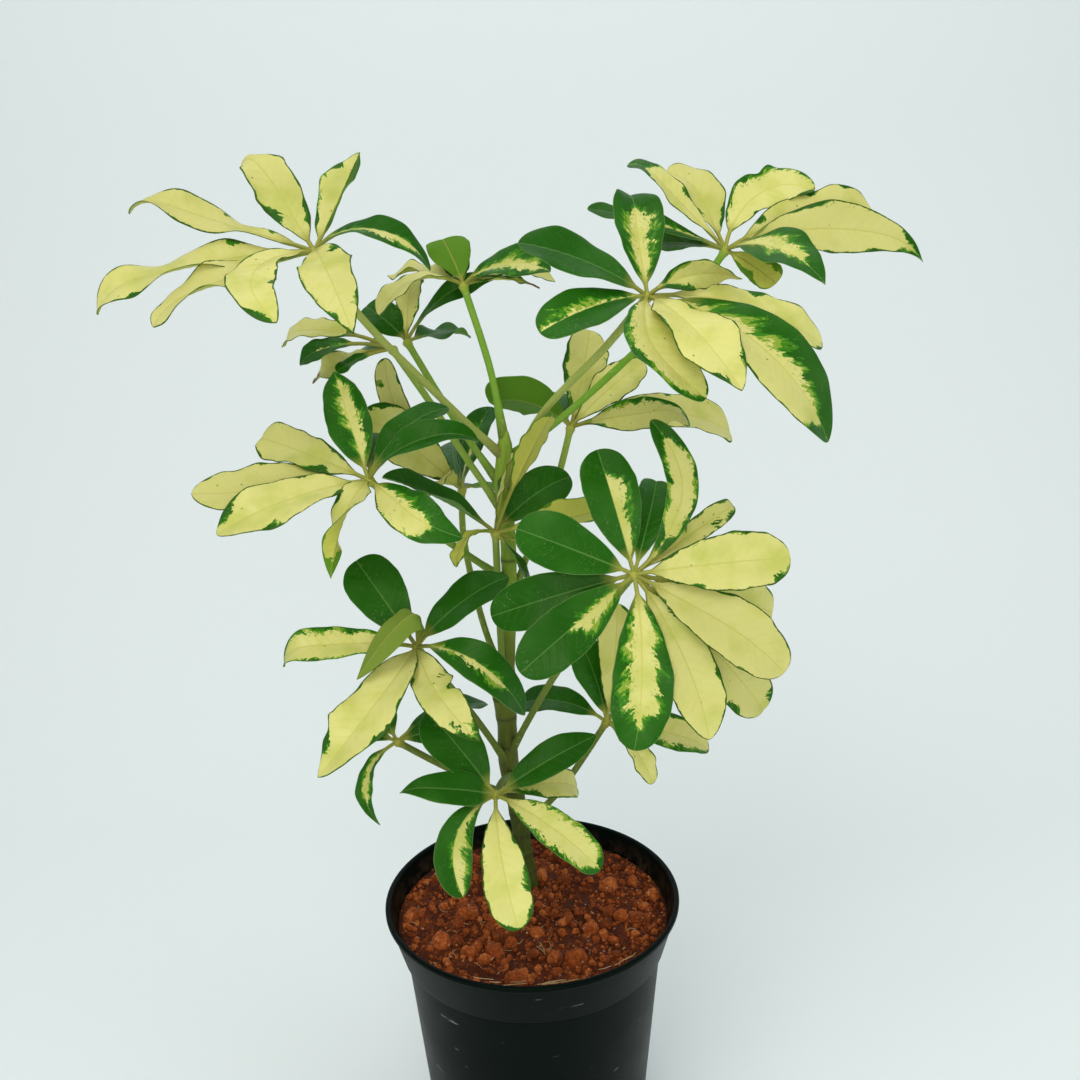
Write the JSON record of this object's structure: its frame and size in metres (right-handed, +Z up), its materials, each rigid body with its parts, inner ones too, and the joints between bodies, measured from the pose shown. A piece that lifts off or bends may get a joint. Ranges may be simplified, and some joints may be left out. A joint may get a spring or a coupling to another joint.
{
  "type": "potted umbrella plant",
  "caption": "Variegated umbrella plant with palmate compound leaves on one woody stem, in a round black nursery pot filled with red soil.",
  "frame": {"origin": "centre of the pot's flat foot, on the surface that the pot stands on", "axes": "+Z up along the pot's axis, -Y towards the side that the leaves face, +X to the right seen from that side"},
  "size_m": [0.3507, 0.199, 0.5027],
  "materials": {
    "pot_plastic": "satin black with a faint green cast",
    "soil": "matte, dry crumbly red laterite soil",
    "bark": "green-brown young bark with ring scars",
    "foliage": "waxy leaf, cream and dark green above, olive beneath"
  },
  "bodies": {
    "root": {"pot": "pot_plastic", "soil": "soil", "stem": "bark", "leaf_top_left": "foliage", "leaf_top_mid": "foliage", "leaf_top_young": "foliage", "leaf_left_small": "foliage", "leaf_mid_left": "foliage", "leaf_mid_back": "foliage", "leaf_centre": "foliage", "leaf_right_back": "foliage", "leaf_top_front": "foliage", "leaf_top_right": "foliage", "leaf_front_right": "foliage", "leaf_low_right": "foliage", "leaf_front_left": "foliage", "leaf_low_left": "foliage", "leaf_low_front": "foliage"}
  },
  "joints": []
}
